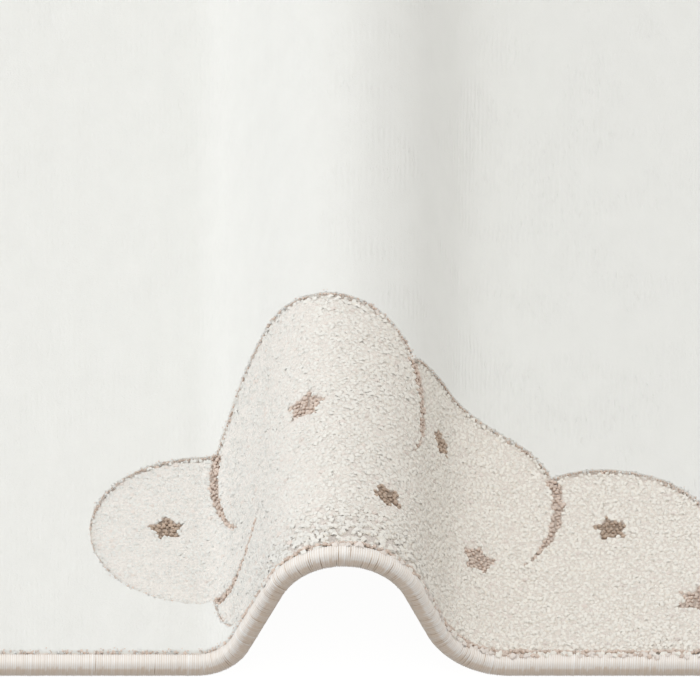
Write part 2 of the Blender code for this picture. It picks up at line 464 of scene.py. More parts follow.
def looseness(u, v):
    """How far the pile has opened over the wave's front edge and at the rim, from 0 to 1."""
    over_wave = np.clip(OPEN_REACH - np.hypot(u / OPEN_HALF_WIDTH, v / OPEN_DEPTH), 0, 1)
    at_rim = OPEN_AT_RIM * np.clip(1 - (v - OPEN_RIM) / OPEN_RIM_WIDTH, 0, 1)
    return np.maximum(over_wave, at_rim)


def yarn_at(u, v):
    """The yarn of the cloud's pile: cream, rose or brown."""
    yarn = np.where(cloud_distance(u, v) > -OUTLINE_WIDTH, ROSE, CREAM)
    for swirl in SWIRLS:
        yarn = np.where(in_swirl(u, v, swirl), ROSE, yarn)
    for star in STARS:
        yarn = np.where(in_star(u, v, star), star.yarn, yarn)
    return yarn


def graded(*stops):
    """Positions from stop to stop, each stretch cut at its own spacing."""
    lines = [stops[0][0]]
    for (start, step), (end, _) in zip(stops, stops[1:]):
        count = max(1, round((end - start) / step))
        lines += [start + (end - start) * (i + 1) / count for i in range(count)]
    return np.array(lines)


def round_the_corners(u, v, inset):
    """Pulls a rectangle's grid in at its corners so that its rim follows the rounded outline."""
    shape = bpy.context.scene.rug_shape
    radius = shape.corner_radius - inset
    along = v - shape.length / 2
    a = (np.abs(u) - (shape.width / 2 - shape.corner_radius)) / radius
    b = (np.abs(along) - (shape.length / 2 - shape.corner_radius)) / radius
    corner = (a > 0) & (b > 0)
    square, disc = np.maximum(a, b), np.maximum(np.hypot(a, b), 1e-9)
    pull = np.where(corner, square / disc, 1.0)
    new_u = np.where(corner, np.sign(u) * (np.abs(u) + (pull - 1) * a * radius), u)
    new_along = np.where(
        corner, np.sign(along) * (np.abs(along) + (pull - 1) * b * radius), along
    )
    return new_u, new_along + shape.length / 2


def grid_points(u_lines, v_lines):
    """Where a grid's lines cross, column by column."""
    return (axis.ravel() for axis in np.meshgrid(u_lines, v_lines, indexing="ij"))


def grid_quads(columns, rows):
    """Quads of a grid whose points run column by column."""
    i, j = np.meshgrid(np.arange(columns - 1), np.arange(rows - 1), indexing="ij")
    first = (i * rows + j).ravel()
    return np.stack([first, first + rows, first + rows + 1, first + 1], axis=1)


def tube_quads(rings, count):
    """Quads of a number of tubes with so many rings and closed ends, one row for each tube."""
    one = []
    for low in range(0, (rings - 1) * TUBE_SIDES, TUBE_SIDES):
        high = low + TUBE_SIDES
        for side in range(TUBE_SIDES):
            following = (side + 1) % TUBE_SIDES
            one.append((low + side, low + following, high + following, high + side))
    last = (rings - 1) * TUBE_SIDES
    one += [(3, 2, 1, 0), (last, last + 1, last + 2, last + 3)]
    starts = np.arange(count) * rings * TUBE_SIDES
    return np.array(one)[None, :, :] + starts[:, None, None]


def straight_out(flat):
    """The directions straight out of the rug's face at points (u, v, w)."""
    out = onto_wave(flat + np.array([0.0, 0.0, MM])) - onto_wave(flat)
    return out / np.linalg.norm(out, axis=1, keepdims=True)


def soften(mesh, flat, share):
    """Turns a piece's shading part of the way to that of the rug's face, as fuzz does."""
    own = np.empty(len(flat) * 3, np.float32)
    mesh.vertices.foreach_get("normal", own)
    shading = (1 - share) * own.reshape(-1, 3) + share * straight_out(flat)
    shading /= np.linalg.norm(shading, axis=1, keepdims=True)
    mesh.normals_split_custom_set_from_vertices(shading)


def make_piece(name, points, quads, material, shade=None, fuzz=0.0):
    """A smooth piece from points (u, v, w) of the flat rug, carried onto the wave. Its UV map
    holds u and v. Shade, if given, is a number on each point for its material, and fuzz is how
    far its shading follows the rug's face instead of its own shape."""
    used, index = np.unique(quads, return_inverse=True)
    quads = index.reshape(quads.shape)
    flat = np.asarray(points, float)[used]
    placed = onto_wave(flat)
    placed[:, 0] += sideways_shift()
    mesh = bpy.data.meshes.new(name)
    mesh.vertices.add(len(placed))
    mesh.vertices.foreach_set("co", placed.astype(np.float32).ravel())
    mesh.loops.add(quads.size)
    mesh.loops.foreach_set("vertex_index", quads.astype(np.int32).ravel())
    mesh.polygons.add(len(quads))
    mesh.polygons.foreach_set("loop_start", np.arange(0, quads.size, 4, dtype=np.int32))
    mesh.update(calc_edges=True)
    mesh.validate()
    mesh.polygons.foreach_set("use_smooth", np.ones(len(quads), bool))
    if fuzz:
        soften(mesh, flat, fuzz)
    uv = mesh.uv_layers.new(name="flat")
    uv.data.foreach_set("uv", flat[quads.ravel(), :2].astype(np.float32).ravel())
    if shade is not None:
        tone = mesh.attributes.new("shade", "FLOAT", "POINT")
        tone.data.foreach_set("value", np.asarray(shade, np.float32)[used])
    mesh.materials.append(material)
    piece = bpy.data.objects.new(name, mesh)
    bpy.context.scene.collection.objects.link(piece)
    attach(piece, BODY)
    return piece


def curl_tubes(u, v, base, size, seed):
    """Short yarns that are each bent over in an arch, leaning and turned at random: points, quads
    with one row for each yarn, and how high each point lies on its yarn, from 0 to 1."""
    pile = bpy.context.scene.rug_pile
    rng = np.random.default_rng(seed)
    count = len(u)
    arch = np.radians(np.linspace(*CURL_ARCH, CURL_RINGS))[None, :]
    reach = (pile.curl_size * size)[:, None]
    twist = rng.uniform(-CURL_TWIST, CURL_TWIST, (count, 1))
    along = reach * np.cos(arch)
    aside = reach * twist * np.sin(2 * arch + rng.uniform(0, pi, (count, 1))) * CURL_WAVE
    lift = reach * rng.uniform(*CURL_LIFTS, (count, 1)) * np.sin(arch)
    lean = rng.uniform(-CURL_LEAN, CURL_LEAN, (count, 1))
    aside, lift = (
        aside * np.cos(lean) - lift * np.sin(lean),
        aside * np.sin(lean) + lift * np.cos(lean),
    )
    heading = rng.uniform(0, 2 * pi, (count, 1))
    base = np.asarray(base)[:, None] + rng.uniform(-CURL_FOOT, CURL_FOOT, (count, 1))
    centre = np.stack([
        u[:, None] + along * np.cos(heading) - aside * np.sin(heading),
        v[:, None] + along * np.sin(heading) + aside * np.cos(heading),
        base + lift,
    ], axis=2)
    tangent = np.gradient(centre, axis=1)
    tangent /= np.linalg.norm(tangent, axis=2, keepdims=True)
    sideways = np.stack([
        -np.sin(heading) * np.cos(lean), np.cos(heading) * np.cos(lean), np.sin(lean)
    ], axis=2)
    normal = np.cross(tangent, np.broadcast_to(sideways, tangent.shape))
    normal /= np.linalg.norm(normal, axis=2, keepdims=True)
    other = np.cross(tangent, normal)
    thick = (pile.curl_yarn * size)[:, None] * np.array(CURL_TAPER)[None, :]
    thick = thick * rng.uniform(*CURL_THICKNESS, (count, CURL_RINGS))
    corners = (np.arange(TUBE_SIDES) + 0.5) / TUBE_SIDES * 2 * pi
    rings = centre[:, :, None, :] + thick[:, :, None, None] * (
        normal[:, :, None, :] * np.cos(corners)[None, None, :, None]
        + other[:, :, None, :] * np.sin(corners)[None, None, :, None]
    )
    high = (rings[..., 2] - base[:, :, None]) / (CURL_TOP * thick.mean(axis=1)[:, None, None])
    quads = tube_quads(CURL_RINGS, count)
    return rings.reshape(-1, 3), quads, np.clip(high, 0, 1).ravel()


class Recipe:
    """Builds one material node by node."""

    def __init__(
        self, name, roughness, sheen=0.0, sheen_roughness=0.5, glow=0.0, specular=DULL
    ):
        self.material = bpy.data.materials.new(name)
        self.material.use_nodes = True
        self.tree = self.material.node_tree
        self.shader = self.tree.nodes["Principled BSDF"]
        self.shader.inputs["Subsurface Weight"].default_value = glow
        self.shader.inputs["Subsurface Radius"].default_value = (1.0, 1.0, 1.0)
        self.shader.inputs["Subsurface Scale"].default_value = LIGHT_REACH
        self.shader.inputs["Roughness"].default_value = roughness
        self.shader.inputs["Sheen Weight"].default_value = sheen
        self.shader.inputs["Sheen Roughness"].default_value = sheen_roughness
        self.shader.inputs["Specular IOR Level"].default_value = specular

    def add(self, kind, settings=None, **inputs):
        """A node with settings, whose inputs take values or other nodes' outputs."""
        node = self.tree.nodes.new("ShaderNode" + kind)
        for key, value in (settings or {}).items():
            setattr(node, key, value)
        for key, value in inputs.items():
            self.feed(node.inputs[key.replace("_", " ")], value)
        return node

    def feed(self, socket, value):
        """Gives a socket a value or links an output to it."""
        if isinstance(value, bpy.types.NodeSocket):
            self.tree.links.new(value, socket)
        elif hasattr(value, "__len__") and len(value) == 3 and socket.type == "RGBA":
            socket.default_value = (*value, 1.0)
        else:
            socket.default_value = value

    def math(self, operation, first, second):
        """A calculation with two numbers or outputs."""
        node = self.tree.nodes.new("ShaderNodeMath")
        node.operation = operation
        self.feed(node.inputs[0], first)
        self.feed(node.inputs[1], second)
        return node.outputs[0]

    def blend(self, share, first, second):
        """A colour between two colours."""
        node = self.tree.nodes.new("ShaderNodeMix")
        node.data_type = "RGBA"
        self.feed(node.inputs[0], share)
        self.feed(node.inputs[6], first)
        self.feed(node.inputs[7], second)
        return node.outputs[2]

    def multiplied(self, first, second):
        """Two colours multiplied."""
        node = self.blend(1.0, first, second).node
        node.blend_type = "MULTIPLY"
        return node.outputs[2]

    def noise(self, lump, detail=2.0, vector=None):
        """Noise from 0 to 1 in lumps of about a given size, by a vector or else by the place."""
        if vector is None:
            vector = self.add("TexCoord").outputs["Object"]
        node = self.add("TexNoise", Scale=1.0 / lump, Detail=detail, Vector=vector)
        return node.outputs["Fac"]

    def strokes(self, flat, across, along, detail=2.0):
        """Noise on the flat rug in strokes of a given width and length, from 0 to 1."""
        stretched = self.add("VectorMath", {"operation": "MULTIPLY"})
        self.feed(stretched.inputs[0], flat)
        self.feed(stretched.inputs[1], (1 / across, 1 / along, 0.0))
        return self.noise(1.0, detail, stretched.outputs["Vector"])

    def between(self, value, low, high):
        """How far a value has come from low to high, from 0 to 1, smoothly."""
        node = self.add("MapRange", {"interpolation_type": "SMOOTHSTEP"}, Value=value)
        node.inputs["From Min"].default_value = low
        node.inputs["From Max"].default_value = high
        return node.outputs["Result"]

    def flat(self):
        """The place on the flat rug: u and v."""
        return self.add("UVMap", {"uv_map": "flat"}).outputs["UV"]

    def across(self):
        """The place across the flat rug: u."""
        return self.add("SeparateXYZ", Vector=self.flat()).outputs["X"]

    def shade(self):
        """The number on each point that its piece was made with."""
        return self.add("Attribute", {"attribute_name": "shade"}).outputs["Fac"]

    def across_the_rug(self, left, right):
        """A colour that turns from one on the left of the wave into one on the right."""
        return self.blend(self.between(self.across(), low=-0.08, high=0.06), left, right)

    def colour(self, value):
        """Sets the base colour."""
        self.feed(self.shader.inputs["Base Color"], value)

    def bump(self, height, depth, strength=1.0):
        """Gives the surface a relief of a given depth."""
        node = self.add("Bump", Strength=strength, Distance=depth, Height=height)
        self.feed(self.shader.inputs["Normal"], node.outputs["Normal"])


def tinted(colour, factor):
    """A colour made lighter or darker."""
    return tuple(min(1.0, channel * factor) for channel in colour)


# A wave texture's scale is this divided by the distance between its bands
BANDS = 2 * pi / 20
JUTE_PITCH = 0.0018

# What the binding's yarn is multiplied by where it is painted in shade, on its lower half and in
# its grooves, and where it is bright: painted light on its upper half and a painted highlight on
# its bright turns
SHADED_TINT = (0.74, 0.585, 0.435)
BRIGHT_TINT = (1.08, 1.115, 1.13)


def plush_material():
    """Dense cut pile: off-white with faint tuft rows, brushed patches and a soft sheen. The
    partings between the tufts hold a little painted shade, fainter on the left. Where
    the shade is 1 the yarn is the binding stitches' rose."""
    colours, pile = bpy.context.scene.rug_colours, bpy.context.scene.rug_pile
    recipe = Recipe("plush_pile", roughness=0.9, sheen=0.2, sheen_roughness=0.5, glow=0.5)
    flat = recipe.flat()
    rows = recipe.add(
        "TexWave", {"wave_type": "BANDS", "bands_direction": "X", "wave_profile": "SIN"},
        Scale=BANDS / pile.tuft_row, Distortion=2.5, Detail=2.0, Detail_Scale=0.5,
        Vector=flat,
    ).outputs["Fac"]
    partings = recipe.strokes(flat, across=0.0018, along=0.0085)
    partings = recipe.between(partings, low=0.56, high=0.72)
    fainter = recipe.add("MapRange", Value=recipe.across())
    for key, value in (("From Min", -0.02), ("From Max", 0.03), ("To Min", 0.35)):
        fainter.inputs[key].default_value = value
    shown = recipe.between(recipe.noise(lump=0.040), low=0.38, high=0.66)
    shown = recipe.math("MULTIPLY", shown, fainter.outputs["Result"])
    broken = recipe.strokes(flat, across=0.004, along=0.020, detail=1.0)
    gaps = recipe.math("MAXIMUM", partings, recipe.math("MULTIPLY", rows, broken))
    gaps = recipe.math("MULTIPLY", gaps, shown)
    brushed = recipe.strokes(flat, across=0.011, along=0.024, detail=3.0)
    mixed = recipe.blend(brushed, tinted(colours.plush, 0.97), tinted(colours.plush, 1.03))
    # Painted shade: the partings between the tufts are slightly darker
    mixed = recipe.blend(recipe.math("MULTIPLY", gaps, 0.07), mixed, tinted(colours.plush, 0.70))
    recipe.colour(recipe.blend(recipe.shade(), mixed, tinted(colours.rose, 0.95)))
    grain = recipe.noise(lump=0.0011, detail=3.0)
    relief = recipe.math("ADD", recipe.math("MULTIPLY", gaps, -1.3), grain)
    relief = recipe.math("ADD", relief, recipe.math("MULTIPLY", brushed, 2.5))
    recipe.bump(relief, depth=0.0004, strength=0.6)
    return recipe.material


def curl_material(name, colour, spread, root, right_colour=None):
    """Frizzy yarn whose curls differ a little in tone and are darker towards their roots, which
    is painted shade between the curls, with another colour on the right if one is given, which
    is painted shade where less light falls. The shade is the height on a curl."""
    recipe = Recipe(name, roughness=0.9, sheen=0.5, sheen_roughness=0.4, glow=0.2)
    recipe.shader.inputs["Sheen Tint"].default_value = (1.0, 0.95, 0.88, 1.0)
    # On the right the colour turns warmer: painted shade where less light falls
    if right_colour is not None:
        colour = recipe.across_the_rug(colour, right_colour)
    chance = recipe.add("NewGeometry").outputs["Random Per Island"]
    chance = recipe.math("MULTIPLY", chance, 0.7)
    patches = recipe.math("MULTIPLY", recipe.noise(lump=0.035), 0.3)
    shown = recipe.math("ADD", chance, patches)
    tone = recipe.blend(shown, (1 - 2 * spread,) * 3, (1.0, 1.0, 1.0))
    # Painted shade: each curl is tinted darker and warmer towards its root
    height = recipe.between(recipe.shade(), low=0.0, high=0.9)
    tint = recipe.blend(height, root, (1.0, 1.0, 1.0))
    recipe.colour(recipe.multiplied(recipe.multiplied(colour, tone), tint))
    recipe.bump(recipe.noise(lump=0.0005), depth=0.00015, strength=0.6)
    return recipe.material


def ground_material():
    """The yarn roots between the curls, in the colours of the curls over them, painted darker as
    shade between the curls: on the right, under rose and brown curls, and where the pile has
    opened. The shade is 0 under cream, down to -1 where the pile has opened, 1 under rose and 2
    under brown curls."""
    colours = bpy.context.scene.rug_colours
    recipe = Recipe("cloud_roots", roughness=0.95)
    yarn = recipe.shade()
    # Painted shade: the roots turn darker and warmer towards the right
    cream = recipe.across_the_rug(colours.ground, colours.warm_ground)
    # Painted shade: pinkish darker roots where the pile has opened, and roots darker than the rose
    # and brown curls over them
    closed = recipe.between(yarn, low=-0.8, high=0.0)
    cream = recipe.blend(closed, tinted(colours.blush, 0.86), cream)
    rosy = recipe.between(yarn, low=0.2, high=0.8)
    base = recipe.blend(rosy, cream, tinted(colours.rose, 0.70))
    brownish = recipe.between(yarn, low=1.2, high=1.8)
    base = recipe.blend(brownish, base, tinted(colours.brown, 0.62))
    tone = recipe.noise(lump=0.0016, detail=3.0)
    recipe.colour(recipe.multiplied(base, recipe.blend(tone, (0.75,) * 3, (1.15,) * 3)))
    recipe.bump(tone, depth=0.0012)
    return recipe.material


def binding_material():
    """Satiny twisted yarn; each turn has its own tone, which also holds painted shade on the
    lower half and in the grooves, and painted light on the upper half.
    """
    colours = bpy.context.scene.rug_colours
    recipe = Recipe(
        "overcast_yarn", roughness=0.42, sheen=0.4, sheen_roughness=0.3, specular=0.7
    )
    tone = recipe.shade()
    # Painted shade and painted light: the tone runs from the shaded lower half's colour to the lit
    # upper half's
    shaded_yarn, bright = (
        tuple(channel * tint for channel, tint in zip(colours.binding, tints))
        for tints in (SHADED_TINT, BRIGHT_TINT)
    )
    mixed = recipe.blend(tone, shaded_yarn, bright)
    # Painted shade: the deep grooves darken towards a dark brown
    out_of_groove = recipe.between(tone, low=-0.7, high=0.0)
    mixed = recipe.blend(out_of_groove, tinted(shaded_yarn, 0.42), mixed)
    soil = recipe.math("MULTIPLY", recipe.noise(lump=0.030, detail=3.0), 0.15)
    recipe.colour(recipe.blend(soil, mixed, tinted(colours.binding, 0.85)))
    recipe.bump(recipe.noise(lump=0.0004), depth=0.0001, strength=0.5)
    return recipe.material


def jute_material():
    """A plain weave of coarse natural yarn."""
    colours = bpy.context.scene.rug_colours
    recipe = Recipe("woven_jute", roughness=0.9)
    flat = recipe.flat()
    warp, weft = (
        recipe.add(
            "TexWave", {"wave_type": "BANDS", "bands_direction": direction},
            Scale=BANDS / JUTE_PITCH, Distortion=0.8, Detail=1.0, Vector=flat,
        ).outputs["Fac"]
        for direction in ("X", "Y")
    )
    checks = recipe.add("TexChecker", Scale=1 / JUTE_PITCH, Vector=flat).outputs["Fac"]
    over = recipe.math("MULTIPLY", warp, checks)
    under = recipe.math("MULTIPLY", weft, recipe.math("SUBTRACT", 1.0, checks))
    woven = recipe.math("ADD", over, under)
    patches = recipe.noise(lump=0.012, detail=4.0)
    tone = recipe.math("ADD", recipe.math("MULTIPLY", woven, 0.7), patches)
    recipe.colour(recipe.blend(tone, tinted(colours.jute, 0.55), tinted(colours.jute, 1.15)))
    recipe.bump(woven, depth=0.0006, strength=0.8)
    return recipe.material


class KIDSRUG_OT_stage(bpy.types.Operator):
    """Floor, lights and the camera at the photograph's viewing angle"""
    bl_idname = "kids_rug.stage"
    bl_label = "Stage"

    FLOOR_SIZE = 14.0
    FLOOR_DROP = 0.0002
    FLOOR_TONE = 0.12
    FLOOR_GLOW = 0.95
    KEY_PLACE = (-3.9, 0.1, 0.95)
    KEY_SIZE = 1.8
    TOP_PLACE = (0.0, -0.2, 3.2)
    TOP_SIZE = 1.5
    LIT_PLACE = (0.0, -0.25, 0.0)
    # Heights of the world's direction between which its light grows from the ground's to the sky's
    HORIZON = (-0.10, 0.60)
    LEFT_LIGHT = (1.0, 1.0, 1.0)
    RIGHT_LIGHT = (1.0, 0.97, 0.925)
    FILM_WIDTH = 36.0
    FURTHEST = 100.0

    def execute(self, context):
        stage = context.scene.rug_stage
        self.floor(context)
        self.lights(context, stage)
        self.camera(context, stage)
        return {"FINISHED"}

    def floor(self, context):
        """A plain pale floor."""
        bpy.ops.mesh.primitive_plane_add(size=self.FLOOR_SIZE, location=(0, 0, -self.FLOOR_DROP))
        floor = context.object
        floor.name = "floor"
        recipe = Recipe("pale_floor", roughness=0.9)
        recipe.colour((self.FLOOR_TONE,) * 3)
        recipe.shader.inputs["Emission Color"].default_value = (1, 1, 1, 1)
        recipe.shader.inputs["Emission Strength"].default_value = self.FLOOR_GLOW
        floor.data.materials.append(recipe.material)
        floor.visible_diffuse = False

    def lights(self, context, stage):
        """A low light on the left, a light overhead, and soft light from all round, which is a
        little warmer from the right."""
        self.lamp(context, "key", self.KEY_PLACE, self.KEY_SIZE, stage.key_power)
        self.lamp(context, "top", self.TOP_PLACE, self.TOP_SIZE, stage.top_power)
        world = bpy.data.worlds.new("studio")
        world.use_nodes = True
        nodes, links = world.node_tree.nodes, world.node_tree.links
        direction = nodes.new("ShaderNodeTexCoord")
        split = nodes.new("ShaderNodeSeparateXYZ")
        height = nodes.new("ShaderNodeMapRange")
        height.inputs["From Min"].default_value = self.HORIZON[0]
        height.inputs["From Max"].default_value = self.HORIZON[1]
        height.inputs["To Min"].default_value = stage.ground_strength
        height.inputs["To Max"].default_value = stage.sky_strength
        links.new(direction.outputs["Generated"], split.inputs["Vector"])
        links.new(split.outputs["Z"], height.inputs["Value"])
        links.new(height.outputs["Result"], nodes["Background"].inputs["Strength"])
        warmth = nodes.new("ShaderNodeMix")
        warmth.data_type = "RGBA"
        warmth.inputs[6].default_value = (*self.LEFT_LIGHT, 1.0)
        warmth.inputs[7].default_value = (*self.RIGHT_LIGHT, 1.0)
        links.new(split.outputs["X"], warmth.inputs[0])
        links.new(warmth.outputs[2], nodes["Background"].inputs["Color"])
        context.scene.world = world
        context.scene.view_settings.view_transform = "Standard"

    def lamp(self, context, name, place, size, power):
        """A round soft light that faces the rug's front half."""
        light = bpy.data.lights.new(name, "AREA")
        light.shape = "DISK"
        light.size = size
        light.energy = power
        lamp = bpy.data.objects.new(name, light)
        lamp.location = place
        aim = Vector(self.LIT_PLACE) - lamp.location
        lamp.rotation_euler = aim.to_track_quat("-Z", "Y").to_euler()
        context.scene.collection.objects.link(lamp)

    def camera(self, context, stage):
        """The camera looks along +Y and down, and shows the front edge where the photo does."""
        data = bpy.data.cameras.new("camera")
        data.lens = stage.lens
        data.sensor_width = self.FILM_WIDTH
        data.clip_end = self.FURTHEST
        camera = bpy.data.objects.new("camera", data)
        look = Vector((0, cos(stage.elevation), -sin(stage.elevation)))
        up = Vector((0, sin(stage.elevation), cos(stage.elevation)))
        right = Vector((1, 0, 0))
        thickness = context.scene.rug_shape.thickness
        front = -context.scene.rug_shape.length / 2 + thickness / 2
        edge = Vector((sideways_shift(), front, thickness / 2))
        scale = stage.pixels_per_mm / MM
        aside = (stage.crest_pixel - PHOTO_SIDE / 2) / scale
        above = (PHOTO_SIDE / 2 - stage.edge_pixel) / scale
        aim = edge - right * aside - up * above
        away = PHOTO_SIDE / scale * stage.lens / data.sensor_width
        camera.matrix_world = Matrix.Translation(aim - look * away) @ (
            look.to_track_quat("-Z", "Y").to_matrix().to_4x4()
        )
        context.scene.collection.objects.link(camera)
        context.scene.camera = camera


class KIDSRUG_OT_plush(bpy.types.Operator):
    """The plush, with a round shoulder at the binding and a wall down to its roots at the cloud"""
    bl_idname = "kids_rug.plush"
    bl_label = "Plush pile"

    INSET = 0.0090
    RIM_WIDTH = 0.0022
    RIM_DROP = 0.0026
    WALL = 0.0042
    SNAP = 0.0009
    # Uneven surfaces: how far, the size of their lumps, and the seed of each
    RAGGED_OUTLINE = (0.0003, 0.0030, 11)
    RAGGED_RIM = ((0.0004, 0.0045, 13), (0.0003, 0.0021, 16))
    SWELL = ((0.00018, 0.019, 14), (0.00007, 0.0045, 15))
    # The grid's stops between its rims, and its spacings across and along from stop to stop
    FINE_HALF_WIDTH = 0.215
    CLOUD_DEPTH = 0.235
    FINE_DEPTH = 0.420
    SPACINGS_ACROSS = (0.0005, 0.004, 0.0016, 0.0022, 0.0005, 0)
    SPACINGS_ALONG = (0.0004, 0.0016, 0.0026, 0.0055, 0.0006, 0)
    CREASE = 35
    TUFT_INSET = 0.0098
    TUFT_PITCH = 0.0007
    TUFT_DEPTH = 0.0036
    TUFT_DEPTH_AT_CLOUD = 0.0022
    TUFT_FOOT = 0.0078
    TUFT_RADIUS = 0.0006
    # A tuft's rings: the share of its length and of its radius
    TUFT_RINGS = ((0.0, 0.9), (0.85, 1.0), (1.0, 0.5))
    TUFT_LEAN = 28
    TUFT_SWAY = 0.25
    TUFT_SHORTER = (-0.0001, 0.0005)
    TUFT_SIZES = (0.8, 1.2)
    TUFT_BEYOND = 0.0004
    TUFT_CLEAR = 0.0003
    TUFT_FUZZ = 0.6
    ROSY = 0.80
    ROSY_AT_CLOUD = 0.35
    ROSY_RIM = 0.0008
    ROSY_PROUD = 0.0003
    SEED = 17

    def execute(self, context):
        shape, pile = context.scene.rug_shape, context.scene.rug_pile
        half = shape.width / 2 - self.INSET
        start, end = self.INSET, shape.length - self.INSET
        rim = self.RIM_WIDTH
        fine = self.FINE_HALF_WIDTH
        across = (-half, -half + rim, -fine, fine, half - rim, half)
        along = (start, start + rim, self.CLOUD_DEPTH, self.FINE_DEPTH, end - rim, end)
        u_lines = graded(*zip(across, self.SPACINGS_ACROSS))
        v_lines = graded(*zip(along, self.SPACINGS_ALONG))
        u, v = grid_points(u_lines, v_lines)
        u, v = round_the_corners(u, v, self.INSET)
        u, v, apart = self.snapped(u, v)
        points = np.column_stack([u, v, self.height(u, v, apart, pile)])
        depth = outline_depth(u, v, self.INSET)
        edge = np.where(apart < -TOUCH, 1.0, np.clip(1 - depth / self.ROSY_RIM, 0, 1))
        quads = grid_quads(len(u_lines), len(v_lines))
        kept = quads[apart[quads].max(axis=1) > -TOUCH]
        material = plush_material()
        piece = make_piece("plush_pile", points, kept, material, edge)
        piece.data.set_sharp_from_angle(angle=radians(self.CREASE))
        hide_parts("rug_body")
        self.tufts(pile, material)
        return {"FINISHED"}

    def tufts(self, pile, material):
        """Single tufts along the plush's edges, which lean out over the binding and the curls."""
        rng = np.random.default_rng(self.SEED)
        _, _, perimeter = outline_track(self.TUFT_INSET)
        places = rng.uniform(0, perimeter, round(perimeter / self.TUFT_PITCH))
        rim, rim_out = outline_at(self.TUFT_INSET, places)
        cloud, cloud_out = cloud_outline(self.TUFT_PITCH, self.TUFT_BEYOND)
        foot = np.concatenate([rim, cloud])
        out = np.concatenate([rim_out, cloud_out])
        behind = rng.uniform(0, 1, len(foot))
        at_rim = np.arange(len(foot)) < len(rim)
        depth = np.where(at_rim, self.TUFT_DEPTH, self.TUFT_DEPTH_AT_CLOUD)
        foot = foot - out * (depth * behind)[:, None]
        chance = np.where(at_rim, self.ROSY, self.ROSY_AT_CLOUD)
        rosy = rng.uniform(0, 1, len(foot)) < chance * (1 - behind)
        clear = cloud_distance(foot[:, 0], foot[:, 1]) > self.TUFT_CLEAR
        inside = outline_depth(foot[:, 0], foot[:, 1], self.TUFT_INSET) > -TOUCH
        foot, out, rosy = (values[clear & inside] for values in (foot, out, rosy))
        count = len(foot)
        lean = np.tan(np.radians(rng.uniform(0, self.TUFT_LEAN, count)))
        length = pile.plush_height - self.TUFT_FOOT - rng.uniform(*self.TUFT_SHORTER, count)
        length += self.ROSY_PROUD * rosy
        side = np.stack([-out[:, 1], out[:, 0]], axis=1)
        sway = rng.uniform(-self.TUFT_SWAY, self.TUFT_SWAY, count)
        rings = []
        for share, width in self.TUFT_RINGS:
            rise = length * share
            middle = foot + out * (rise * lean)[:, None] + side * (rise * sway)[:, None]
            quarter = 2 * pi / TUBE_SIDES
            corners = np.arange(TUBE_SIDES) * quarter + rng.uniform(0, quarter, count)[:, None]
            reach = self.TUFT_RADIUS * width * rng.uniform(*self.TUFT_SIZES, count)
            reach = reach[:, None]
            ring = np.stack([
                middle[:, :1] + reach * np.cos(corners), middle[:, 1:] + reach * np.sin(corners),
                np.broadcast_to((self.TUFT_FOOT + rise)[:, None], corners.shape),
            ], axis=2)
            rings.append(ring)
        points = np.stack(rings, axis=1)
        shade = np.repeat(rosy, len(rings) * TUBE_SIDES)
        make_piece(
            "edge_tufts", points.reshape(-1, 3), tube_quads(len(rings), count).reshape(-1, 4),
            material, shade, self.TUFT_FUZZ,
        )

    def snapped(self, u, v):
        """The grid with its points near the cloud's outline moved onto it, and how far each
        point lies outside the cloud."""
        apart = cloud_distance(u, v) + uneven(u, v, *self.RAGGED_OUTLINE)
        step = TOUCH
        right = cloud_distance(u + step, v) - cloud_distance(u - step, v)
        back = cloud_distance(u, v + step) - cloud_distance(u, v - step)
        away = np.maximum(np.hypot(right, back), 1e-9)
        move = np.where(np.abs(apart) < self.SNAP, -apart, 0.0)
        return u + move * right / away, v + move * back / away, apart + move

    def height(self, u, v, apart, pile):
        """The plush's height: level, but round at its rim, and down to its roots in the cloud."""
        depth = outline_depth(u, v, self.INSET)
        for ragged in self.RAGGED_RIM:
            depth = depth + uneven(u, v, *ragged)
        rim = np.clip(1 - depth / self.RIM_WIDTH, 0, 1)
        drop = np.where(apart < -TOUCH, self.WALL, self.RIM_DROP * rim ** 2)
        swell = sum(uneven(u, v, *lumps) for lumps in self.SWELL)
        return pile.plush_height - drop + swell


class KIDSRUG_OT_cloud_ground(bpy.types.Operator):
    """The yarn roots under the curls"""
    bl_idname = "kids_rug.cloud_ground"
    bl_label = "Cloud ground"

    INSET = 0.0090
    GRID = 0.0019
    LEFT = -0.176
    RIGHT = 0.280
    BACK = 0.226
    UNDER_PLUSH = 0.0006
    # How far it is uneven, the size of its lumps, and their seed
    UNEVEN = (0.0002, 0.006, 21)
    LIFT = 0.0004
    # How much lower it lies where the pile has opened, and higher where it is closed on the left
    OPENED = 0.0019
    CLOSED = 0.0004
    CLOSED_WITHIN = 0.030

    def execute(self, context):
        pile = context.scene.rug_pile
        u_lines = graded((self.LEFT, self.GRID), (self.RIGHT, 0))
        v_lines = graded((self.INSET, self.GRID), (self.BACK, 0))
        u, v = grid_points(u_lines, v_lines)
        yarn, loose = yarn_at(u, v), looseness(u, v)
        height = pile.ground_height + uneven(u, v, *self.UNEVEN)
        height += np.where(yarn == CREAM, self.LIFT, -self.LIFT) - self.OPENED * loose
        closed = np.clip(-u / self.CLOSED_WITHIN, 0, 1) * (1 - loose)
        height += np.where(yarn == CREAM, self.CLOSED, 0.0) * closed
        quads = grid_quads(len(u_lines), len(v_lines))
        kept = quads[cloud_distance(u, v)[quads].min(axis=1) < self.UNDER_PLUSH]
        make_piece(
            "cloud_ground", np.column_stack([u, v, height]), kept, ground_material(),
            np.where(yarn == CREAM, -loose, yarn),
        )
        return {"FINISHED"}


